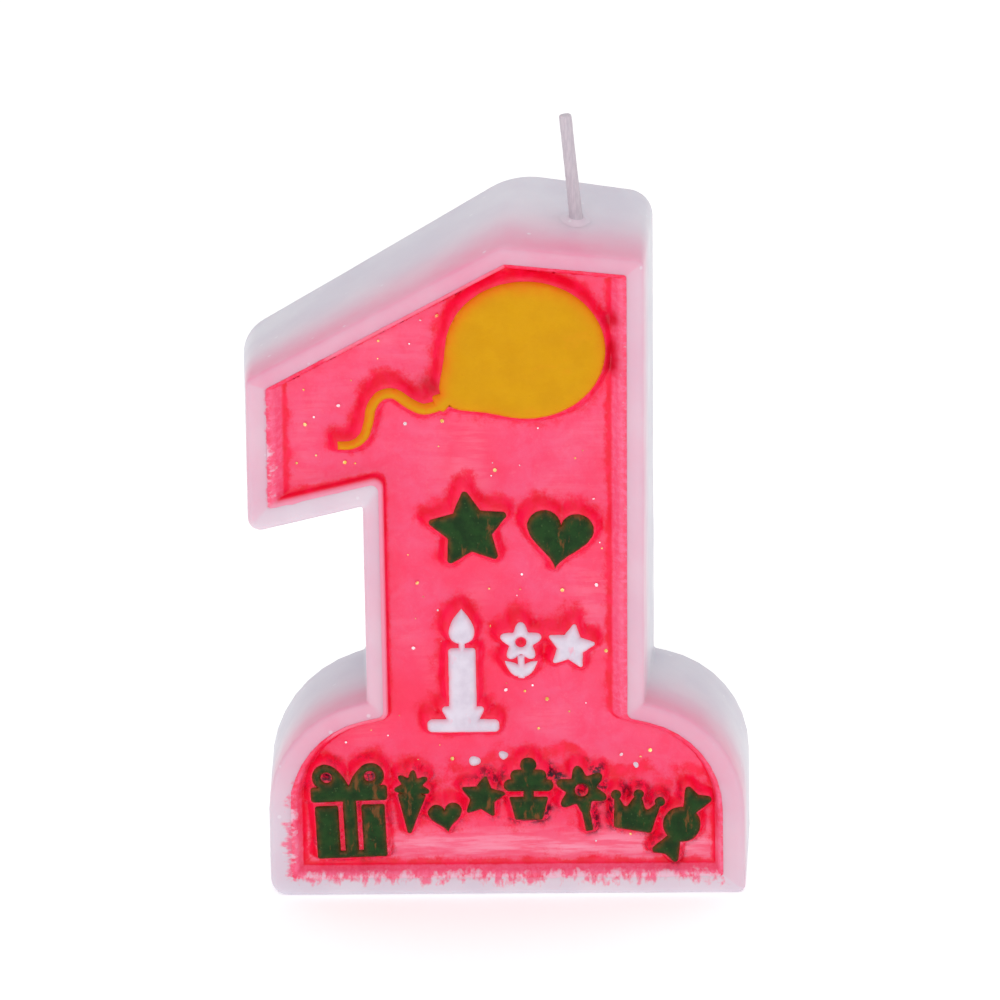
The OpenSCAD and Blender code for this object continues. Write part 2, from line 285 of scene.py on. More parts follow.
class Paint:
    """A material under construction: a Principled shader and short calls for its nodes."""

    def __init__(self, name, roughness, coat=0.0, scatter=0.0, scatter_mm=1.5, metal=0.0, shine=0.3):
        self.material = bpy.data.materials.new(name)
        self.material.use_nodes = True
        self.tree = self.material.node_tree
        self.shader = self.tree.nodes["Principled BSDF"]
        self.set(self.shader, "Roughness", roughness)
        self.set(self.shader, "Specular IOR Level", shine)
        self.set(self.shader, "Coat Weight", coat)
        self.set(self.shader, "Coat Roughness", 0.3)
        self.set(self.shader, "Metallic", metal)
        self.set(self.shader, "Subsurface Weight", scatter)
        self.set(self.shader, "Subsurface Scale", scatter_mm * MM)
        self.shader.inputs["Subsurface Radius"].default_value = (1.0, 0.7, 0.7)
        self.place = self.node("ShaderNodeTexCoord").outputs["Object"]

    def node(self, kind, **settings):
        made = self.tree.nodes.new(kind)
        for key, value in settings.items():
            setattr(made, key, value)
        return made

    def set(self, node, socket, value):
        if isinstance(value, bpy.types.NodeSocket):
            self.tree.links.new(value, node.inputs[socket])
        else:
            node.inputs[socket].default_value = value

    def stretched(self, x=1.0, y=1.0, z=1.0, turn=0.0):
        mapping = self.node("ShaderNodeMapping")
        self.set(mapping, "Vector", self.place)
        mapping.inputs["Rotation"].default_value = (0, turn, 0)
        mapping.inputs["Scale"].default_value = (x, y, z)
        return mapping.outputs["Vector"]

    def noise(self, size_mm, detail=3.0, rough=0.55, vector=None, twist=0.0):
        made = self.node("ShaderNodeTexNoise")
        self.set(made, "Vector", vector or self.place)
        self.set(made, "Scale", 1 / (size_mm * MM))
        self.set(made, "Detail", detail)
        self.set(made, "Roughness", rough)
        self.set(made, "Distortion", twist)
        return made.outputs["Fac"]

    def cells(self, size_mm, vector=None):
        made = self.node("ShaderNodeTexVoronoi")
        self.set(made, "Vector", vector or self.place)
        self.set(made, "Scale", 1 / (size_mm * MM))
        return made.outputs["Distance"]

    def value(self, name):
        return self.node("ShaderNodeAttribute", attribute_name=name).outputs["Fac"]

    def span(self, value, low, high, to_low=0.0, to_high=1.0):
        made = self.node("ShaderNodeMapRange", interpolation_type="SMOOTHSTEP")
        for socket, number in (("Value", value), ("From Min", low), ("From Max", high),
                               ("To Min", to_low), ("To Max", to_high)):
            self.set(made, socket, number)
        return made.outputs["Result"]

    def maths(self, operation, a, b=0.0):
        made = self.node("ShaderNodeMath", operation=operation)
        for index, number in enumerate((a, b)):
            if isinstance(number, bpy.types.NodeSocket):
                self.tree.links.new(number, made.inputs[index])
            else:
                made.inputs[index].default_value = number
        return made.outputs[0]

    def mix(self, factor, a, b):
        made = self.node("ShaderNodeMix", data_type="RGBA", clamp_factor=True)
        for index, given in ((0, factor), (6, a), (7, b)):
            if isinstance(given, bpy.types.NodeSocket):
                self.tree.links.new(given, made.inputs[index])
            else:
                made.inputs[index].default_value = given
        return made.outputs[2]

    def bristles(self, along):
        """How far ragged brush strokes cover the surface, from 0 to 1, where the level in the
        fringe attribute falls from 1 to 0. The strokes run along x or along z."""
        across = (0.5, 0.5, 1) if along == "x" else (1, 0.5, 0.5)
        level = self.value("fringe_" + along)
        streaks = self.noise(0.75, 4, 0.65, vector=self.stretched(*across))
        hairs = self.span(streaks, 0.25, 0.75, -0.45, 0.45)
        patches = self.span(self.noise(2.6, 5, 0.7), 0.3, 0.7, -0.4, 0.3)
        reach = self.maths("ADD", self.maths("ADD", level, hairs), patches)
        return self.maths("MULTIPLY", self.span(reach, 0.3, 1.0), self.span(level, 0.0, 0.3))

    def finish(self, colour, bumps, roughness=None):
        """bumps is a list of (height socket, height in millimetres)."""
        self.set(self.shader, "Base Color", colour)
        if roughness is not None:
            self.set(self.shader, "Roughness", roughness)
        normal = None
        for height, depth in bumps:
            bump = self.node("ShaderNodeBump")
            bump.inputs["Strength"].default_value = 1.0
            bump.inputs["Distance"].default_value = depth * MM
            self.set(bump, "Height", height)
            if normal is not None:
                self.set(bump, "Normal", normal)
            normal = bump.outputs["Normal"]
        self.set(self.shader, "Normal", normal)
        return self.material


def wax_material(name, scatter):
    """Translucent white wax with a painted rose glow near the colour coat: light scattered through the wax
    from the coat, painted into its colour.
    """
    p = Paint(name, 0.42, coat=0.12, scatter=scatter, scatter_mm=2.5)
    cloud = p.noise(9, 3, 0.5)
    grey = p.mix(p.span(cloud, 0.3, 0.7), linear(214, 209, 221), linear(222, 219, 228))
    # painted glow: light scattered through the wax from the colour coat, mixed into the base colour as a
    # rose tint
    painted_glow = p.value("painted_glow")
    uneven = p.maths("MULTIPLY", painted_glow, p.span(p.noise(5, 3), 0.25, 0.75, 0.86, 1.1))
    tinted = p.mix(uneven, grey, linear(236, 152, 180))
    for along in ("x", "z"):
        tinted = p.mix(p.maths("MULTIPLY", p.bristles(along), 0.85), tinted, linear(250, 84, 128))
    speck = p.span(p.cells(3.1), 0.05, 0.1, 1.0, 0.0)
    colour = p.mix(p.maths("MULTIPLY", speck, 0.4), tinted, linear(240, 236, 242))
    pores = p.span(p.cells(1.9), 0.04, 0.11)
    return p.finish(colour, [(p.noise(3.2, 4, 0.55), 0.06), (pores, 0.012), (p.noise(0.5, 2), 0.012)],
                    p.span(p.noise(4, 3), 0.3, 0.7, 0.36, 0.5))


def coat_material():
    """Pink brushed-on coat: mottled where thin, deep red where it pools."""
    p = Paint("pink_coat_brushed", 0.36, coat=0.15, scatter=0.1, scatter_mm=0.8)
    mottle = p.noise(2.6, 5, 0.65, twist=0.4)
    fine = p.noise(0.55, 4, 0.7)
    base = p.mix(p.span(mottle, 0.3, 0.7), linear(250, 62, 108), linear(248, 82, 126))
    base = p.mix(p.span(fine, 0.5, 0.8, 0.0, 0.3), base, linear(250, 116, 146))
    base = p.mix(p.value("deep"), base, linear(252, 38, 84))
    brush = p.noise(0.9, 4, 0.6, vector=p.stretched(0.12, 1, 1, math.radians(4)))
    # pale where the coat is thin, and at one painted highlight over the gift box
    thin = p.maths("MULTIPLY", p.value("thin"), p.span(brush, 0.4, 0.62, 0.25, 1.0))
    base = p.mix(thin, base, linear(254, 158, 186))
    ragged = p.maths("ADD", p.value("pool"), p.span(p.noise(1.1, 5, 0.7), 0.2, 0.8, -0.34, 0.34))
    ragged = p.maths("ADD", ragged, p.span(p.noise(0.3, 3, 0.7), 0.25, 0.75, -0.12, 0.12))
    red = p.mix(p.span(p.noise(1.6, 3), 0.35, 0.65), linear(244, 4, 52), linear(255, 16, 76))
    base = p.mix(p.span(ragged, 0.12, 0.85), base, red)
    across = p.noise(0.55, 5, 0.7, vector=p.stretched(0.35, 0.35, 1))
    upright = p.noise(0.55, 5, 0.7, vector=p.stretched(1, 0.35, 0.35))
    for name, strokes in (("brushed_x", across), ("brushed_z", upright)):
        speckle = p.span(p.maths("ADD", p.maths("MULTIPLY", strokes, 0.5), p.maths("MULTIPLY", fine, 0.5)),
                         0.44, 0.6, 0.3, 1.0)
        base = p.mix(p.maths("MULTIPLY", p.value(name), speckle), base, linear(255, 112, 152))
    base = p.mix(p.value("pale"), base, linear(246, 158, 186))
    for along in ("x", "z"):
        base = p.mix(p.bristles(along), linear(240, 190, 210), base)
    base = p.mix(p.maths("MULTIPLY", p.value("clot"), p.span(mottle, 0.3, 0.6, 0.5, 1.0)),
                 base, linear(196, 0, 26))
    stain = p.maths("MULTIPLY", p.value("stain"), p.span(p.noise(0.9, 5, 0.7), 0.44, 0.58))
    dark = p.mix(stain, base, linear(44, 18, 34))
    return p.finish(dark, [(p.noise(1.8, 4, 0.6), 0.07), (fine, 0.03), (across, 0.02)],
                    p.span(p.noise(2.2, 3), 0.3, 0.7, 0.3, 0.48))


def yellow_material():
    p = Paint("mustard_wax_colour", 0.55, shine=0.12)
    base = p.mix(p.span(p.noise(3, 4, 0.6), 0.35, 0.65), linear(211, 150, 2), linear(216, 156, 3))
    blotch = p.span(p.noise(4.2, 4, 0.6, vector=p.stretched(0.6, 1, 1.4)), 0.58, 0.72, 0.0, 0.25)
    base = p.mix(blotch, base, linear(232, 146, 20))
    edge = p.maths("MULTIPLY", p.value("edge"), p.span(p.noise(1.4, 3), 0.3, 0.7, 0.6, 1.0))
    base = p.mix(edge, base, linear(240, 100, 14))
    pits = p.cells(0.55, vector=p.stretched(0.7, 1, 1))
    return p.finish(base, [(p.noise(1.2, 4, 0.6), 0.035), (p.span(pits, 0.0, 0.3), 0.02)],
                    p.span(p.noise(2, 3), 0.3, 0.7, 0.44, 0.6))


def green_material():
    p = Paint("green_wax_colour", 0.48, coat=0.04, shine=0.15)
    base = p.mix(p.span(p.noise(1.6, 5, 0.65), 0.35, 0.65), linear(14, 48, 12), linear(26, 64, 20))
    streak = p.noise(1.3, 5, 0.65, vector=p.stretched(1, 1, 0.35, math.radians(14)))
    base = p.mix(p.span(streak, 0.57, 0.68, 0.0, 0.85), base, linear(122, 72, 34))
    edge = p.maths("MULTIPLY", p.value("edge"), p.span(p.noise(0.8, 3), 0.3, 0.65, 0.2, 1.0))
    base = p.mix(edge, base, linear(142, 66, 34))
    speck = p.span(p.cells(0.7), 0.1, 0.18, 0.55, 0.0)
    base = p.mix(speck, base, linear(62, 92, 48))
    return p.finish(base, [(p.noise(1.0, 4, 0.6), 0.04), (p.noise(0.3, 2), 0.012)],
                    p.span(p.noise(1.5, 3), 0.3, 0.7, 0.34, 0.55))


def relief_white_material():
    p = Paint("white_relief_wax", 0.45, coat=0.1, scatter=0.2, scatter_mm=1.0)
    base = p.mix(p.span(p.noise(2, 4), 0.35, 0.65), linear(214, 204, 220), linear(226, 218, 232))
    edge = p.maths("MULTIPLY", p.value("edge"), p.span(p.noise(1.0, 3), 0.3, 0.7, 0.25, 0.9))
    base = p.mix(edge, base, linear(246, 150, 178))
    smear = p.span(p.noise(1.5, 5, 0.6, vector=p.stretched(1, 1, 0.4)), 0.62, 0.74, 0.0, 0.6)
    base = p.mix(smear, base, linear(248, 160, 186))
    return p.finish(base, [(p.noise(1.1, 4), 0.035), (p.noise(0.35, 2), 0.01)],
                    p.span(p.noise(1.5, 3), 0.3, 0.7, 0.38, 0.55))


def wick_material():
    p = Paint("waxed_cotton_cord", 0.55, coat=0.1, scatter=0.1, scatter_mm=0.5)
    fibre = p.noise(0.22, 4, 0.65, vector=p.stretched(1, 1, 0.15))
    base = p.mix(p.span(fibre, 0.35, 0.65), linear(196, 186, 196), linear(210, 200, 208))
    # painted shade: slightly darker in the grooves between the strands
    base = p.mix(p.maths("MULTIPLY", p.value("painted_groove_shade"), 0.15), base, linear(190, 182, 192))
    return p.finish(base, [(fibre, 0.02), (p.noise(0.8, 3), 0.02)],
                    p.span(p.noise(0.7, 3), 0.3, 0.7, 0.45, 0.65))


def glitter_material():
    p = Paint("glitter_foil", 0.25, metal=0.55)
    gold = p.mix(p.span(p.noise(0.4, 2), 0.4, 0.6), linear(240, 190, 90), linear(252, 222, 150))
    base = p.mix(p.value("white"), gold, linear(250, 232, 240))
    return p.finish(base, [(p.noise(0.2, 2), 0.01)], p.span(p.noise(0.3, 2), 0.3, 0.7, 0.2, 0.35))


def stage_material():
    p = Paint("studio_floor", 0.9)
    p.set(p.shader, "Emission Color", (1, 1, 1, 1))
    p.set(p.shader, "Emission Strength", FLOOR_GLOW)
    base = p.mix(p.noise(60, 2), linear(252, 252, 252), linear(254, 254, 254))
    return p.finish(base, [(p.noise(20, 2), 0.02)])


# ---- camera, floor and light ----

SKY, FLOOR_GLOW = 0.7, 0.3
VIEW_TURN, VIEW_LIFT, VIEW_ROLL = math.radians(1.8), math.radians(20), math.radians(1.05)
VIEW_DISTANCE, VIEW_LENS, SENSOR_WIDTH = 1200.0, 368.9, 36
VIEW_TARGET = Vector((0.25, 0, 41.54))
VIEW_OFFSET = (0.351, 4.03)          # sideways and upwards, so that the candle sits where it should
LIGHT_TARGET = Vector((0, 0, 0.045))
FLOOR_HALF = 3000.0


def make_camera():
    turn, lift = VIEW_TURN, VIEW_LIFT
    back = Vector((math.sin(turn) * math.cos(lift), -math.cos(turn) * math.cos(lift), math.sin(lift)))
    right = Vector((math.cos(turn), math.sin(turn), 0))
    up = back.cross(right)
    right, up = (right * math.cos(VIEW_ROLL) - up * math.sin(VIEW_ROLL),
                 right * math.sin(VIEW_ROLL) + up * math.cos(VIEW_ROLL))
    place = VIEW_TARGET + back * VIEW_DISTANCE + right * VIEW_OFFSET[0] + up * VIEW_OFFSET[1]
    data = bpy.data.cameras.new("camera")
    data.lens, data.sensor_width = VIEW_LENS, SENSOR_WIDTH
    data.clip_start, data.clip_end = 0.01, 20
    camera = bpy.data.objects.new("camera", data)
    axes = Matrix((right, up, back)).transposed().to_4x4()
    camera.matrix_world = Matrix.Translation(place * MM) @ axes
    bpy.context.scene.collection.objects.link(camera)
    bpy.context.scene.camera = camera


def make_floor():
    half = FLOOR_HALF
    corners = [(-half, -half, 0), (half, -half, 0), (half, half, 0), (-half, half, 0)]
    mesh = bpy.data.meshes.new("floor")
    mesh.from_pydata([Vector(c) * MM for c in corners], [], [(0, 1, 2, 3)])
    mesh.materials.append(stage_material())
    floor = bpy.data.objects.new("floor", mesh)
    bpy.context.scene.collection.objects.link(floor)


def make_light(name, place, size, watts):
    data = bpy.data.lights.new(name, "AREA")
    data.shape, data.size, data.energy = "DISK", size, watts
    lamp = bpy.data.objects.new(name, data)
    lamp.location = place
    lamp.rotation_euler = (LIGHT_TARGET - Vector(place)).to_track_quat("-Z", "Y").to_euler()
    bpy.context.scene.collection.objects.link(lamp)


def make_studio():
    world = bpy.data.worlds.new("studio")
    world.use_nodes = True
    background = world.node_tree.nodes["Background"]
    background.inputs["Color"].default_value = (1, 1, 1, 1)
    background.inputs["Strength"].default_value = SKY
    bpy.context.scene.world = world
    bpy.context.scene.view_settings.view_transform = "Standard"
    make_light("front_softbox", (-0.12, -0.9, 0.5), 0.7, 1.6)
    make_light("top_softbox", (0.1, 0.1, 1.0), 0.8, 1.2)


make_camera()
make_floor()
make_studio()


# ---- wax body ----

FRONT_ROUND, BACK_ROUND = 0.75, 0.95
ROUND_STEPS, SIDE_STEPS, RIM_STEPS = 6, 18, 6
GLOW_REACH = 5.6              # how far back the painted rose glow carries, in millimetres
OVERLAP = 0.05                # the mouth is this much wider than the coat's, and the floor this much higher
BACK_FILL, FLOOR_FILL = (1.3, 0.6, 11), (2.5, 1.2, 12)      # pitch, clearance and seed
BODY_CENTRE = np.array([0.0, 0.0, 40.0])


def body_rings():
    """(y, inset) of the outer rings, from the back face to the inner edge of the rim."""
    arc = np.linspace(0, math.pi / 2, ROUND_STEPS)
    back = [(BACK_Y - BACK_ROUND * (1 - math.cos(a)), BACK_ROUND * (1 - math.sin(a))) for a in arc]
    sides = [(y, 0.0) for y in np.linspace(BACK_Y - BACK_ROUND, RIM_Y + FRONT_ROUND, SIDE_STEPS)[1:-1]]
    front = [(RIM_Y + FRONT_ROUND * (1 - math.sin(a)), FRONT_ROUND * (1 - math.cos(a))) for a in arc]
    return back + sides + front


def outward(count):
    """The outline's outward direction at each point of a ring, smoothed round the corners."""
    flat = body_ring(FRONT_Y, 0)[:, XZ]
    step = np.roll(flat, -1, axis=0) - np.roll(flat, 1, axis=0)
    away = unit_rows(np.column_stack([step[:, 1], -step[:, 0]]))
    padded = np.vstack([away[-4:], away, away[:4]])
    return unit_rows(sum(padded[k:k + count] for k in range(9)))


def painted_glow_at(points, upness):
    """How strongly the painted glow, light scattered from the colour coat through the wax, shows at a
    point. Light comes from above, so it is painted strongest on the faces that look up, and weaker towards
    the base."""
    mouth = recess_ring(FRONT_Y, 0)[:, XZ]
    flat = points[:, XZ]
    gap, _ = nearest(flat, [mouth])
    gap = np.where(inside(flat, [mouth]), 0, gap)
    depth = points[:, 1] - FRONT_Y
    reach = np.hypot(np.maximum(gap - 1.6, 0), np.maximum(depth - 1.5, 0))
    # painted light: the glow is stronger on faces that look up and weaker near the base
    share = 0.6 + 0.35 * np.clip(upness * 1.3, -1, 1)
    low = 0.3 + 0.7 * smooth(0, 16, points[:, 2] + 0.25 * points[:, 0])
    on_rim = depth < 0.3
    near_paint = 0.16 * np.exp(-gap / 0.5) * on_rim
    fade = np.where(on_rim, 0.86, 1.0)
    return np.clip(np.exp(-(reach / GLOW_REACH) ** 1.6) * share * low * fade + near_paint, 0, 1)


def rim_fringe(points, away, mouth, first, count):
    """Level of the brush strokes over the rim, along x and along z. The rim's rings start at first."""
    fringe = np.zeros((len(points), 2))
    for k in range(RIM_STEPS + 1):
        here = slice(first + k * count, first + (k + 1) * count)
        gap, _ = nearest(points[here][:, XZ], [mouth[:, XZ]])
        low, flag = smooth(16, 9, points[here][:, 2]), smooth(-20, -25, points[here][:, 0])
        side, below = np.abs(away[:, 0]) ** 3 * (away[:, 0] < 0), np.maximum(-away[:, 1], 0) ** 3
        reach = 0.5 + 1.4 * low
        near = 0.72 * (1 - smooth(0.0, 1.0, gap / reach))
        fringe[here] = np.column_stack([near * side * np.maximum(low, flag), near * below * low])
    return fringe


def dented(points):
    """The sides, gently uneven: always inwards, so that the body keeps to its box."""
    dent = 0.035 * (1 + wave(points, 7, 1.0)) + 0.012 * (1 + wave(points, 2, 5.0))
    flat_base = smooth(0.0, 2.0, points[:, 2])
    inward = unit_rows((BODY_CENTRE - points) * np.array([1, 0.02, 1]))
    return points + inward * (dent * flat_base)[:, None]


def make_wax_body():
    rings = [body_ring(y, d) for y, d in body_rings()]
    count = len(rings[0])
    outer_rings = len(rings)
    edge, mouth = rings[-1], recess_ring(RIM_Y, 0, -OVERLAP)
    rings += [edge + (mouth - edge) * k / RIM_STEPS - (0, 0.02 * math.sin(math.pi * k / RIM_STEPS), 0)
              for k in range(1, RIM_STEPS + 1)]
    rings.append(recess_ring(FLOOR_Y - OVERLAP, 1))
    skin = np.vstack(rings)
    faces = stack_faces(len(rings), count)

    back_edge = rings[0][:, XZ]
    back_flat, back_tris = fill([back_edge], *BACK_FILL)
    inner = back_flat[count:]
    gap, _ = nearest(inner, [back_edge])
    shrink = 0.2 * smooth(0, 5, gap) + 0.07 * (1 + wave(ring3(inner, 0), 7, 3.0)) * smooth(0, 1.5, gap)
    back_points = ring3(inner, BACK_Y - shrink)
    back_index = np.concatenate([np.arange(count), len(skin) + np.arange(len(inner))])
    faces += back_index[back_tris][:, ::-1].tolist()

    last = (len(rings) - 1) * count
    floor_flat, floor_tris = fill([rings[-1][:, XZ]], *FLOOR_FILL)
    floor_points = ring3(floor_flat[count:], FLOOR_Y - OVERLAP)
    floor_index = np.concatenate([last + np.arange(count),
                                  len(skin) + len(inner) + np.arange(len(floor_points))])
    faces += floor_index[floor_tris].tolist()

    points = np.vstack([skin, back_points, floor_points])
    sides = slice(0, outer_rings * count)
    points[sides] = dented(points[sides])
    away = outward(count)
    upness = np.zeros(len(points))
    upness[:len(skin)] = np.tile(away[:, 1], len(rings))
    fringe = rim_fringe(points, away, mouth, (outer_rings - 1) * count, count)
    return make_piece("wax_body_cast", points, faces, wax_material("white_wax_cast", 0.35),
                      ["wax_body"],
                      {"painted_glow": painted_glow_at(points, upness), "fringe_x": fringe[:, 0],
                       "fringe_z": fringe[:, 1]})


# ---- outlines of the reliefs, from the CAD model's own front faces ----

def front_loops(node):
    """The closed loops round a node's front face, in millimetres."""
    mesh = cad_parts[node].data
    points = np.array([v.co for v in mesh.vertices]) / MM
    keys = {}
    index = [keys.setdefault(tuple(np.round(p, 3)), len(keys)) for p in points]
    spots = np.array(list(keys))
    mesh.calc_loop_triangles()
    directed = set()
    front = points[:, 1].min() + 0.01
    for tri in mesh.loop_triangles:
        if all(points[v][1] < front for v in tri.vertices):
            a, b, c = (index[v] for v in tri.vertices)
            if cross2(spots[b][XZ] - spots[a][XZ], spots[c][XZ] - spots[a][XZ]) < 0:
                b, c = c, b
            directed |= {(a, b), (b, c), (c, a)}
    follow = {a: b for a, b in sorted(directed) if (b, a) not in directed}
    loops = []
    while follow:
        start = min(follow)
        loop, at = [], start
        while at in follow:
            loop.append(at)
            at = follow.pop(at)
        loops.append(spots[loop][:, XZ])
    return loops


def evened(loop, pitch):
    """The loop with points at most pitch apart."""
    out = []
    for a, b in zip(loop, np.roll(loop, -1, axis=0)):
        steps = max(1, int(math.ceil(np.linalg.norm(b - a) / pitch)))
        out += [a + (b - a) * k / steps for k in range(steps)]
    return np.array(out)


YELLOW = ["balloon", "balloon_knot", "balloon_string"]
WHITE = ["candle_white", "flower_white", "star_white"]
GREEN = ["star_green", "heart_green", "gift_box", "ice_cream_cone", "small_heart", "small_star",
         "cupcake", "party_flower", "crown", "wrapped_sweet"]
LOWER_ROW = GREEN[2:]
LOOP_PITCH = 0.3
LOOPS = {name: [evened(loop, LOOP_PITCH) for loop in front_loops(name)]
         for name in YELLOW + WHITE + GREEN}


# ---- pink coat ----

WALL_SLOPES = [0, 0.06, 0.16, 0.3, 0.45, 0.6, 0.74, 0.86, 0.94, 1]     # rings from the mouth to the floor
LIP, UNDER_LIP = 0.015, 0.02    # the lip's face behind the CAD front, and its underside behind the rim
LEAST_LIP = 0.12                # the lip spreads at least this far from the mouth
SKIRT_TOP = FRONT_Y + 0.62      # height of the coat where it meets a relief
COVE = 0.35                     # how far the coat is drawn up at the foot of the wall
COAT_FILL = (0.3, 0.14, 21)     # pitch, clearance and seed


def coat_fields(points):
    """For points on the coat: skirt height from 0 to 1, redness of the pooled colour, stain."""
    skirt, pool, stain = (np.zeros(len(points)) for _ in range(3))
    for name, loops in LOOPS.items():
        every = np.vstack(loops)
        low, high = every.min(axis=0) - 3, every.max(axis=0) + 3
        near = np.flatnonzero(((points > low) & (points < high)).all(axis=1))
        if not len(near):
            continue
        flat = points[near]
        gap, foot = nearest(flat, loops)
        within = inside(flat, loops)
        away = unit_rows(flat - foot)
        above = np.clip(away[:, 1] * 0.75 - away[:, 0] * 0.35, -0.4, 1)
        wobble = 1 + 0.35 * wave(ring3(flat, 0), 2.2, 2.0)
        width = (1.5 + 0.75 * above) * wobble
        if name in LOWER_ROW:
            width *= 0.75
        rise = np.where(within, 1.0, 1 - smooth(0.0, 1.0, gap / (width * 0.85)))
        skirt[near] = np.maximum(skirt[near], rise)
        tint = np.where(within, 1.0, 1 - smooth(0.25, 1.5, gap / width))
        weight = 0.6 + 0.45 * np.clip(above + 0.5, 0, 1)
        pool[near] = np.maximum(pool[near], tint * weight)
        if name == "balloon":
            pool[near] = np.maximum(pool[near], 0.46 * (1 - smooth(0.8, 2.9, gap)))
        if name in LOWER_ROW:
            blots = smooth(-0.1, 0.2, wave(ring3(flat, 0), 2.2, 9.0))
            middle = 0.35 + 0.65 * np.exp(-((flat[:, 0] - 7) / 9) ** 4)
            mark = np.where(within, 0, blots * (1 - smooth(0.5, 1.4, gap)) * middle)
            holes = inside(flat, loops[1:]) & ~within
            stain[near] = np.maximum(stain[near], np.where(holes, 0.9, mark))
    return skirt, pool, stain


def beside_balloon(flat):
    """Two dark runs of colour between the balloon and the wall on its right."""
    x, z = flat.T
    runs = np.exp(-((z - 71.2) / 0.9) ** 2) + np.exp(-((z - 66.6) / 2.2) ** 4)
    uneven = 1 + 0.3 * wave(ring3(flat, 0), 1.2, 23.0)
    return np.clip(np.exp(-((x - 13.9) / 1.1) ** 2) * runs * uneven, 0, 1)


def pooled_places(flat):
    """Colour that ran together: right of the balloon, over it, and along a wavy line over the lower row
    and between its motifs."""
    x, z = flat.T
    spread = 1 + 0.4 * wave(ring3(flat, 0), 3.0, 4.0)
    over = np.exp(-((x - 1.5) / 6) ** 2) * np.exp(-((z - 77.6) / 0.9) ** 2)
    crest = 17.2 + 0.9 * np.sin(x / 3.1) + 0.6 * np.sin(x / 1.3 + 1) - 0.006 * (x - 2) ** 2
    line = np.exp(-((z - crest) / (0.9 * spread)) ** 2) * smooth(0.0, 0.35, spread - 0.75)
    between = 0.45 + 0.4 * wave(ring3(flat, 0), 2.6, 17.0)
    row = smooth(0, 1.2, crest - z) * smooth(5.5, 9.5, z) * between
    return np.clip(1.1 * beside_balloon(flat) + 0.8 * over + line + np.maximum(row, 0), 0, 1.1)


def lip_spread(ring):
    """How the coat's ragged lip spreads over the rim from the mouth, as a move in (x, z)."""
    edge = ring[:, XZ]
    out = unit_rows(edge - np.roll(edge, 3, axis=0))[:, [1, 0]] * np.array([1, -1])
    reach = 0.1 + 0.07 * wave(ring, 0.9, 6.0) + 0.05 * wave(ring, 0.35, 7.0)
    low_left = (ring[:, 0] < -20) * smooth(18, 12, ring[:, 2])
    loose = np.clip(np.maximum(-out[:, 1], 0) ** 3 + low_left, 0, 1)
    reach = reach + loose * (0.28 * wave(ring, 3.0, 61.0) + 0.2 * wave(ring, 1.1, 62.0))
    return out * np.maximum(reach, LEAST_LIP)[:, None]


def coat_rings():
    """The coat's rings down the wall of the recess: its free side, and the side on the wax."""
    tops, bottoms = [], []
    for s in WALL_SLOPES:
        eased = s * s * (3 - 2 * s) * 0.6 + s * 0.4
        y_top = FRONT_Y + LIP + (COAT_Y - COVE - FRONT_Y - LIP) * eased
        top = recess_ring(y_top, s, COAT_T * min(1, s * 4))
        bottom = recess_ring(RIM_Y + UNDER_LIP + (FLOOR_Y - RIM_Y - UNDER_LIP) * s, s)
        if s == 0:
            top[:, XZ] += lip_spread(top)
            bottom[:, XZ] = top[:, XZ]
        tops.append(top)
        bottoms.append(bottom)
    return tops, bottoms


def brush_marks(xz, slope, count):
    """Where the strokes show on the walls, and the level of their ragged end, along x and along z."""
    walls, inner = len(WALL_SLOPES), len(xz) - len(WALL_SLOPES) * count
    x, z = xz.T
    on_floor = slope >= 1
    facing = np.vstack([np.tile(outward(count), (walls, 1)), np.zeros((inner, 2))])
    wide = np.column_stack([np.abs(facing[:, 0]) ** 3, np.maximum(-facing[:, 1], 0) ** 3])
    wide[:, 0] *= smooth(13, 14, np.abs(x)) * (x > 0) + smooth(-21, -23, x)
    wide[:, 1] *= z < 8
    brushed = wide * np.where(on_floor, 0, smooth(0.97, 0.7, slope) * 0.9)[:, None]
    brushed *= (1 - beside_balloon(xz))[:, None]
    low, flag = smooth(16, 9, z), smooth(-20, -25, x)
    frayed = np.column_stack([
        np.abs(facing[:, 0]) ** 3 * np.where(facing[:, 0] < 0, np.maximum(low, 0.75 * flag), 0.35),
        np.maximum(-facing[:, 1], 0) ** 3 * low])
    level = 1.7 - frayed * np.where(on_floor, 0, np.maximum(1.05 - 1.2 * slope, 0))[:, None]
    narrow_wall = np.maximum(-facing[:, 1], 0) * (z > 30) + np.maximum(-facing[:, 0], 0) * (np.abs(x) < 19)
    pale = np.where(on_floor, 0, np.clip(narrow_wall, 0, 1) * smooth(0.6, 0.15, slope) * 0.85)
    return wide, brushed, level, pale


def edge_pool(top, slope, gap, downward, wide):
    """Colour pooled on the walls and along the foot of them."""
    x, z = top[:, 0], top[:, 2]
    on_floor = slope >= 1
    at_foot = 1.1 * np.exp(-((slope - 1) / 0.2) ** 2) * np.where(on_floor, 0, 1)
    at_mouth = 0.55 * np.exp(-(slope / 0.12) ** 2)
    wide_wall = np.clip(wide.sum(axis=1), 0, 1)
    narrow = 0.55 + 0.45 * smooth(0.2, 0.7, slope)
    on_wall = wide_wall * np.maximum(at_foot, at_mouth + 0.15) + (1 - wide_wall) * narrow
    soft_edge = np.maximum.reduce([smooth(9, 7, z), smooth(-20, -21, x), smooth(11, 12, x)])
    band = (0.3 + 0.28 * soft_edge) * (1 + 0.7 * wave(top, 1.6, 14.0))
    # no line of colour stands along the edges that look down
    line = 1 - 0.92 * smooth(0.15, 0.5, downward)
    return np.where(on_floor, np.exp(-(gap / np.maximum(band, 0.05)) ** 1.5) * 1.1 * line, on_wall)


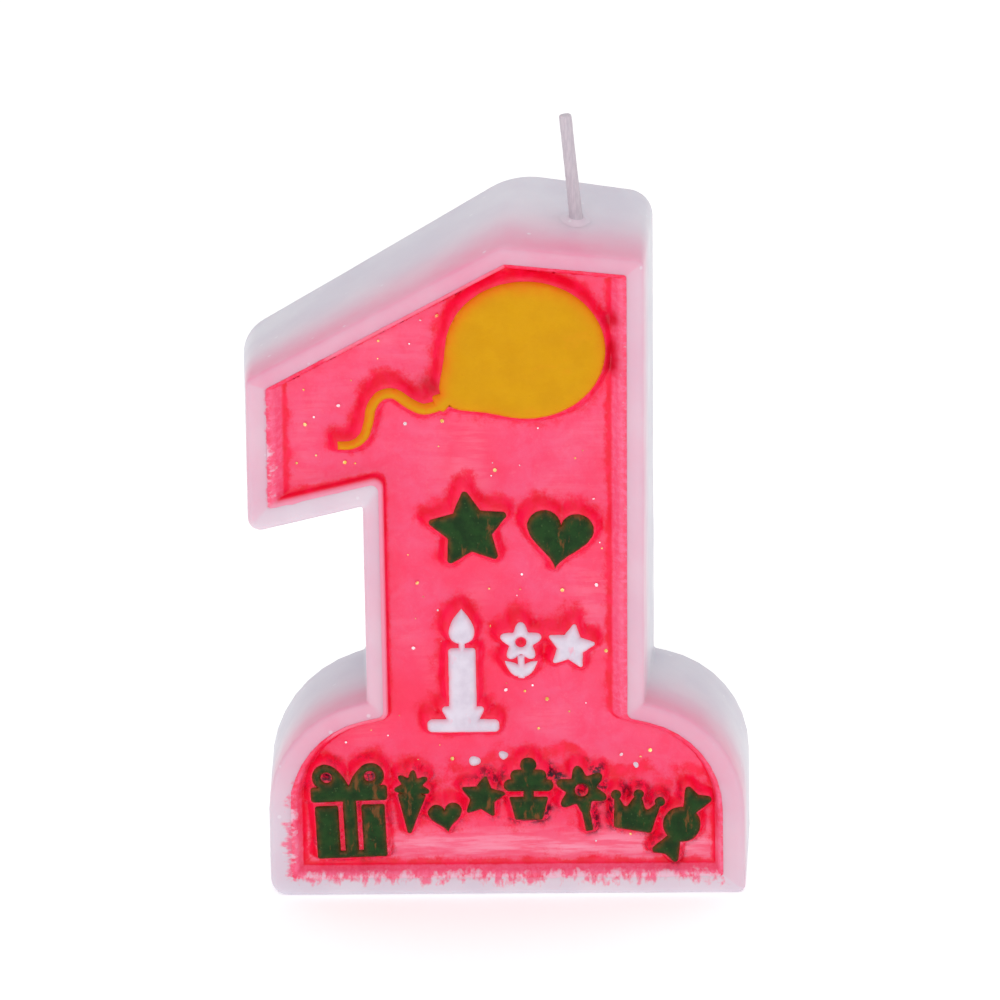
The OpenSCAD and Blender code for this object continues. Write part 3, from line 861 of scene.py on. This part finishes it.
def coat_tones(top):
    """Where the coat is thin and pale, with one pale patch that is a painted highlight, where it is deeper,
    and where it has clotted.
    """
    x, z = top[:, 0], top[:, 2]
    thin = 0.9 * np.exp(-((z - 5.6) / 1.7) ** 2) + 0.14 * smooth(0.1, 0.6, wave(top, 6.0, 15.0))
    # painted highlight: a small pale patch at the upper left of the gift box
    thin += 0.7 * np.exp(-((x + 22.6) / 1.6) ** 2 - ((z - 17.6) / 0.9) ** 2)
    thin += 0.5 * np.exp(-((x - 21.5) / 2.2) ** 2 - ((z - 7) / 3) ** 2)
    thin += 0.12 * smooth(-0.2, 0.5, wave(top, 9.0, 16.0)) * smooth(40, 55, z)
    thin += 0.25 * np.exp(-((x - 11) / 3) ** 2 - ((z - 36) / 6) ** 2)
    deep = 0.8 * np.exp(-((z - 24) / 5) ** 2) * smooth(8, -4, x)
    deep = deep + 0.4 * smooth(0.0, 0.6, wave(top, 8.0, 18.0))
    left_of_balloon = np.exp(-((x + 7.0) / 1.3) ** 2 - ((z - 63.2) / 1.0) ** 2)
    clot = np.maximum(beside_balloon(top[:, XZ]), left_of_balloon) * 0.85
    return np.clip(thin, 0, 1), deep, clot


def make_coat():
    tops, bottoms = coat_rings()
    count = len(tops[0])
    last = (len(WALL_SLOPES) - 1) * count
    foot = tops[-1][:, XZ]
    flat, tris = fill([foot], *COAT_FILL)
    inner = flat[count:]

    top = np.vstack(tops[:-1] + [ring3(foot, COAT_Y), ring3(inner, COAT_Y)])
    slope = np.concatenate([np.repeat(WALL_SLOPES, count), np.ones(len(inner))])
    on_floor = slope >= 1
    xz = top[:, XZ]
    skirt, pool, stain = coat_fields(xz)
    gap, foot_place = nearest(inner, [foot])
    downward = np.concatenate([np.zeros(last + count), -unit_rows(inner - foot_place)[:, 1]])
    gap = np.concatenate([np.zeros(last + count), gap])
    ripple = 0.05 * wave(top, 2.4, 8.0) + 0.03 * wave(top, 0.8, 12.0)
    top[:, 1] -= np.where(on_floor, ripple * smooth(0, 0.6, gap), 0)
    top[:, 1] -= np.where(on_floor, COVE * np.exp(-gap / 0.4), 0)
    lifted = COAT_Y + (SKIRT_TOP - COAT_Y) * skirt
    top[:, 1] = np.minimum(top[:, 1], lifted)

    index = np.concatenate([last + np.arange(count), (last + count) + np.arange(len(inner))])
    faces = stack_faces(len(WALL_SLOPES), count)
    faces += index[tris].tolist()
    bottom = np.vstack(bottoms + [ring3(inner, FLOOR_Y)])
    shift = len(top)
    under = [[v + shift for v in reversed(face)] for face in faces]
    edge_faces = [[(k + 1) % count, k, shift + k, shift + (k + 1) % count] for k in range(count)]

    wide, brushed, level, pale = brush_marks(xz, slope, count)
    pool = np.maximum(np.maximum(pool, pooled_places(xz)), edge_pool(top, slope, gap, downward, wide))
    thin, deep, clot = coat_tones(top)
    values = {"pool": pool, "thin": thin, "deep": deep, "brushed_x": brushed[:, 0],
              "brushed_z": brushed[:, 1], "fringe_x": level[:, 0], "fringe_z": level[:, 1],
              "pale": pale, "clot": clot, "stain": stain}
    return make_piece("pink_coat_brushed", np.vstack([top, bottom]), faces + under + edge_faces,
                      coat_material(), ["pink_panel_coat"],
                      {key: np.tile(numbers, 2) for key, numbers in values.items()})


# ---- reliefs ----

EDGE_Y, CROWN = FRONT_Y + 0.55, 0.5      # a relief's edge, and how far its middle stands out from it
RELIEF_PITCH, RELIEF_CLEARANCE = 0.3, 0.13
RELIEF_BACK_Y = COAT_Y - 0.25            # behind the coat's skirt, so that no gap shows
YELLOW_CAST = 31                         # one seed, since the yellow pieces run into each other
TOUCHING = 0.12


def edge_gap(node, points, loops):
    """As nearest, but without the stretches where a yellow piece meets another."""
    if node not in YELLOW:
        return nearest(points, loops)
    others = [loop for name in YELLOW if name != node for loop in LOOPS[name]]
    best, place = np.full(len(points), FAR), np.zeros((len(points), 2))
    for loop in loops:
        after = np.roll(loop, -1, axis=0)
        middle = (loop + after) / 2
        touching = (nearest(middle, others)[0] < TOUCHING) | inside(middle, others)
        for a, b in zip(loop[~touching], after[~touching]):
            gap, foot = nearest(points, [np.array([a, b])])
            closer = gap < best
            best[closer], place[closer] = gap[closer], foot[closer]
    return best, place


def make_relief(node, material, seed):
    loops = LOOPS[node]
    flat, tris = fill(loops, RELIEF_PITCH, RELIEF_CLEARANCE, seed)
    rim_count = sum(len(loop) for loop in loops)
    gap, foot = edge_gap(node, flat, loops)
    cast = YELLOW_CAST if node in YELLOW else seed
    lumps = 0.05 * (wave(ring3(flat, 0), 3.0, cast) - 1) + 0.02 * (wave(ring3(flat, 0), 0.9, cast) - 1)
    height = CROWN * (1 - np.exp(-gap / 0.28)) + lumps * smooth(0, 0.6, gap)
    front = ring3(flat, EDGE_Y - height)
    wander = 0.04 * wave(ring3(flat[:rim_count], 0), 0.8, seed + 40) * (gap[:rim_count] < 0.01)
    front[:rim_count, 0] += wander
    front[:rim_count, 2] -= wander
    back = ring3(flat[:rim_count], RELIEF_BACK_Y)
    shift = len(front)
    faces = tris.tolist()
    under = triangles_in(flat[:rim_count], loops).tolist()
    faces += [[shift + v for v in reversed(face)] for face in under]
    first = 0
    for loop in loops:
        n = len(loop)
        for k in range(n):
            a, b = first + k, first + (k + 1) % n
            faces.append([b, a, shift + a, shift + b])
        first += n
    away = unit_rows(flat - foot)
    lit = 0.6 + 0.4 * np.clip(-away[:, 1] * 0.9 + away[:, 0] * 0.5, -1, 1)
    edge = np.exp(-(gap / (0.85 if node in YELLOW else 0.3)) ** 1.4) * lit
    values = {"edge": np.concatenate([edge, np.ones(rim_count)])}
    return make_piece(node + "_cap", np.vstack([front, back]), faces, material, [node],
                      values)


# ---- wick ----

WICK_AROUND, WICK_LAY = 36, 5.2          # points round the cord, and millimetres to a turn of its strands


def wick_point(s):
    """A point on the wick's middle line, s millimetres from its lower end, and its direction."""
    straight = WICK_BEND_Z - WICK_FLOOR
    if s < straight:
        return np.array([WICK_X, WICK_Y, WICK_FLOOR + s]), UP
    lean = np.array([-math.sin(WICK_LEAN), 0, math.cos(WICK_LEAN)])
    return np.array([WICK_X, WICK_Y, WICK_BEND_Z]) + (s - straight) * lean, lean


def make_wick():
    straight = WICK_BEND_Z - WICK_FLOOR
    full = straight + WICK_FREE - 0.5
    stations = np.concatenate([np.linspace(0, straight - 4, 30), np.linspace(straight - 3.8, full, 110)])
    around = WICK_AROUND
    angle = np.linspace(0, 2 * math.pi, around, endpoint=False)
    points, groove_shade_levels = [], []
    for s in stations:
        middle, along = wick_point(s)
        side = unit(np.cross(along, (0, 1, 0)))
        other = np.cross(along, side)
        twist = 2 * math.pi * s / WICK_LAY
        strands = 0.5 + 0.5 * np.cos(3 * (angle - twist))
        braid = 0.5 + 0.5 * np.cos(2 * (angle + twist * 1.4))
        end = smooth(0, 0.12, full - s) * 0.08 + 0.92
        flare = 1 + 0.3 * math.exp(-max(s - straight, 0) / 1.3)
        radius = WICK_R * end * flare * (0.97 + 0.015 * strands + 0.01 * braid)
        radius = radius * (1 + 0.03 * wave(middle, 1.3, 3.0)[0])
        points += [middle + r * (math.cos(a) * side + math.sin(a) * other) for r, a in zip(radius, angle)]
        # how far each point lies down a groove between strands, for the painted groove shade
        groove_shade_levels += (1 - strands).tolist()
    faces = stack_faces(len(stations), around)
    tip, foot = len(points), len(points) + 1
    points += [wick_point(full + 0.08)[0], wick_point(0)[0]]
    groove_shade_levels += [1, 1]
    top = (len(stations) - 1) * around
    faces += [[top + i, top + (i + 1) % around, tip] for i in range(around)]
    faces += [[(i + 1) % around, i, foot] for i in range(around)]
    return make_piece("wick_cord", points, faces, wick_material(), ["wick"],
                      {"painted_groove_shade": groove_shade_levels})


def top_height(x, y):
    """Height of the body's top face near the wick."""
    t = (y - FRONT_Y) / BODY_T
    corners = CORNERS_FRONT + t * (CORNERS_BACK - CORNERS_FRONT)
    a, b = corners[4], corners[5]
    return a[1] + (b[1] - a[1]) * (x - a[0]) / (b[0] - a[0])


COLLAR_HOLE, COLLAR_REACH, COLLAR_RISE = 0.7, 1.75, 0.75


def make_collar():
    """Wax drawn up round the wick, thinning out over the top face."""
    around, rings = 48, 14
    points, faces = [], []
    angle = np.linspace(0, 2 * math.pi, around, endpoint=False)
    for k in range(rings):
        t = k / (rings - 1)
        for a in angle:
            reach = COLLAR_REACH + 0.28 * math.cos(a - 2.6) + 0.12 * math.sin(3 * a)
            r = COLLAR_HOLE + (reach - COLLAR_HOLE) * t
            x, y = WICK_X + r * math.cos(a), WICK_Y + r * math.sin(a)
            rise = COLLAR_RISE * math.exp(-2.6 * t) * (1 - t) - 0.04 * t
            points.append((x - 0.08 * (1 - t) * rise, y, top_height(x, y) + rise))
    for k in range(rings - 1):
        a, b = k * around, (k + 1) * around
        faces += [[a + i, b + i, b + (i + 1) % around, a + (i + 1) % around] for i in range(around)]
    low = len(points)
    points += [(x, y, z - 0.4) for x, y, z in points[:around]]
    points += [(x, y, z - 0.25) for x, y, z in points[(rings - 1) * around:rings * around]]
    inner, outer, edge = low, low + around, (rings - 1) * around
    for i in range(around):
        j = (i + 1) % around
        faces += [[i, j, inner + j, inner + i], [inner + i, inner + j, outer + j, outer + i],
                  [edge + j, edge + i, outer + i, outer + j]]
    # painted glow of light scattered from the coat, as on the body
    painted_glow = painted_glow_at(np.array(points), np.ones(len(points)))
    # too thin to scatter light inside: it would be lost into the body below
    return make_piece("wick_collar_wax", points, faces, wax_material("white_wax_thin", 0.0),
                      ["wick_collar"], {"painted_glow": painted_glow})


# ---- glitter and dabs ----

FLECKS = [(-14.5, 48), (-17.6, 60.6), (-6, 71.5), (15, 66), (-21.5, 58.3), (-17, 53.6),
          (-9.9, 58.3), (-5.6, 58.6), (14, 57), (0.4, 52.5), (-8.9, 38.6), (12, 38.2), (8, 37.6),
          (1.2, 25.2), (6, 24), (-5.2, 16.6), (14.6, 17), (18, 17.5), (-9.5, 30.5), (13, 30)]
EXTRA_FLECKS = 50
FLAKE_T, FLAKE_TILT = 0.04, 0.5


def make_glitter():
    rng = np.random.default_rng(5)
    foot = recess_ring(COAT_Y, 1, 1.0)[:, XZ]
    places = [(x, z, 0.24) for x, z in FLECKS]
    while len(places) < len(FLECKS) + EXTRA_FLECKS:
        x, z = rng.uniform(-26, 27), rng.uniform(6, 76)
        spot = np.array([(x, z)])
        clear = all(not inside(spot, loops)[0] and nearest(spot, loops)[0][0] > 0.8
                    for loops in LOOPS.values())
        if clear and inside(spot, [foot])[0]:
            places.append((x, z, rng.uniform(0.07, 0.16)))
    points, faces, white = [], [], []
    for k, (x, z, size) in enumerate(places):
        tip = Matrix.Rotation(rng.uniform(-FLAKE_TILT, FLAKE_TILT), 3, "X")
        tilt = tip @ Matrix.Rotation(rng.uniform(-FLAKE_TILT, FLAKE_TILT), 3, "Z")
        turn = rng.uniform(0, math.pi)
        first = len(points)
        for depth in (0.0, -FLAKE_T):
            for i in range(6):
                a = turn + i * math.pi / 3
                local = tilt @ Vector((size * math.cos(a), depth, size * math.sin(a)))
                points.append((x + local.x, COAT_Y - 0.1 - size * 0.3 + local.y, z + local.z))
        front, back = [first + 6 + i for i in range(6)], [first + i for i in range(6)]
        faces += [front, back[::-1]]
        faces += [[back[i], back[(i + 1) % 6], front[(i + 1) % 6], front[i]] for i in range(6)]
        white += [1.0 if k % 5 in (1, 3) else 0.0] * 12
    return make_piece("glitter_flakes", points, faces, glitter_material(),
                      ["glitter_flecks"], {"white": white}, shade=False)


DABS = [(-2.6, 16.2, 0.8), (0.8, 16.9, 0.7), (16.3, 15.6, 0.5)]


def make_dabs(material):
    """Low, slightly run drops of white wax."""
    points, faces = [], []
    around, rings = 28, 9
    for n, (x, z, r) in enumerate(DABS):
        first = len(points)
        for k in range(rings):
            t = k / (rings - 1) * math.pi / 2
            for i in range(around):
                a = 2 * math.pi * i / around
                swell = r * (0.86 + 0.1 * math.cos(2 * a + n) + 0.05 * math.cos(3 * a - n))
                reach = swell * math.cos(t)
                points.append((x + reach * math.cos(a), COAT_Y + 0.25 - 0.95 * r * math.sin(t) * 0.8,
                               z + reach * math.sin(a) * 1.08))
        faces += stack_faces(rings, around, first)
        faces.append([first + i for i in range(around)][::-1])
    edge = np.zeros(len(points))
    return make_piece("wax_dabs_run", points, faces, material, ["wax_dabs"],
                      {"edge": edge})


make_wax_body()
make_coat()
yellow, white, green = yellow_material(), relief_white_material(), green_material()
for number, name in enumerate(YELLOW):
    make_relief(name, yellow, 31 + number)
for number, name in enumerate(WHITE):
    make_relief(name, white, 41 + number)
for number, name in enumerate(GREEN):
    make_relief(name, green, 51 + number)
make_wick()
make_collar()
make_glitter()
make_dabs(white)
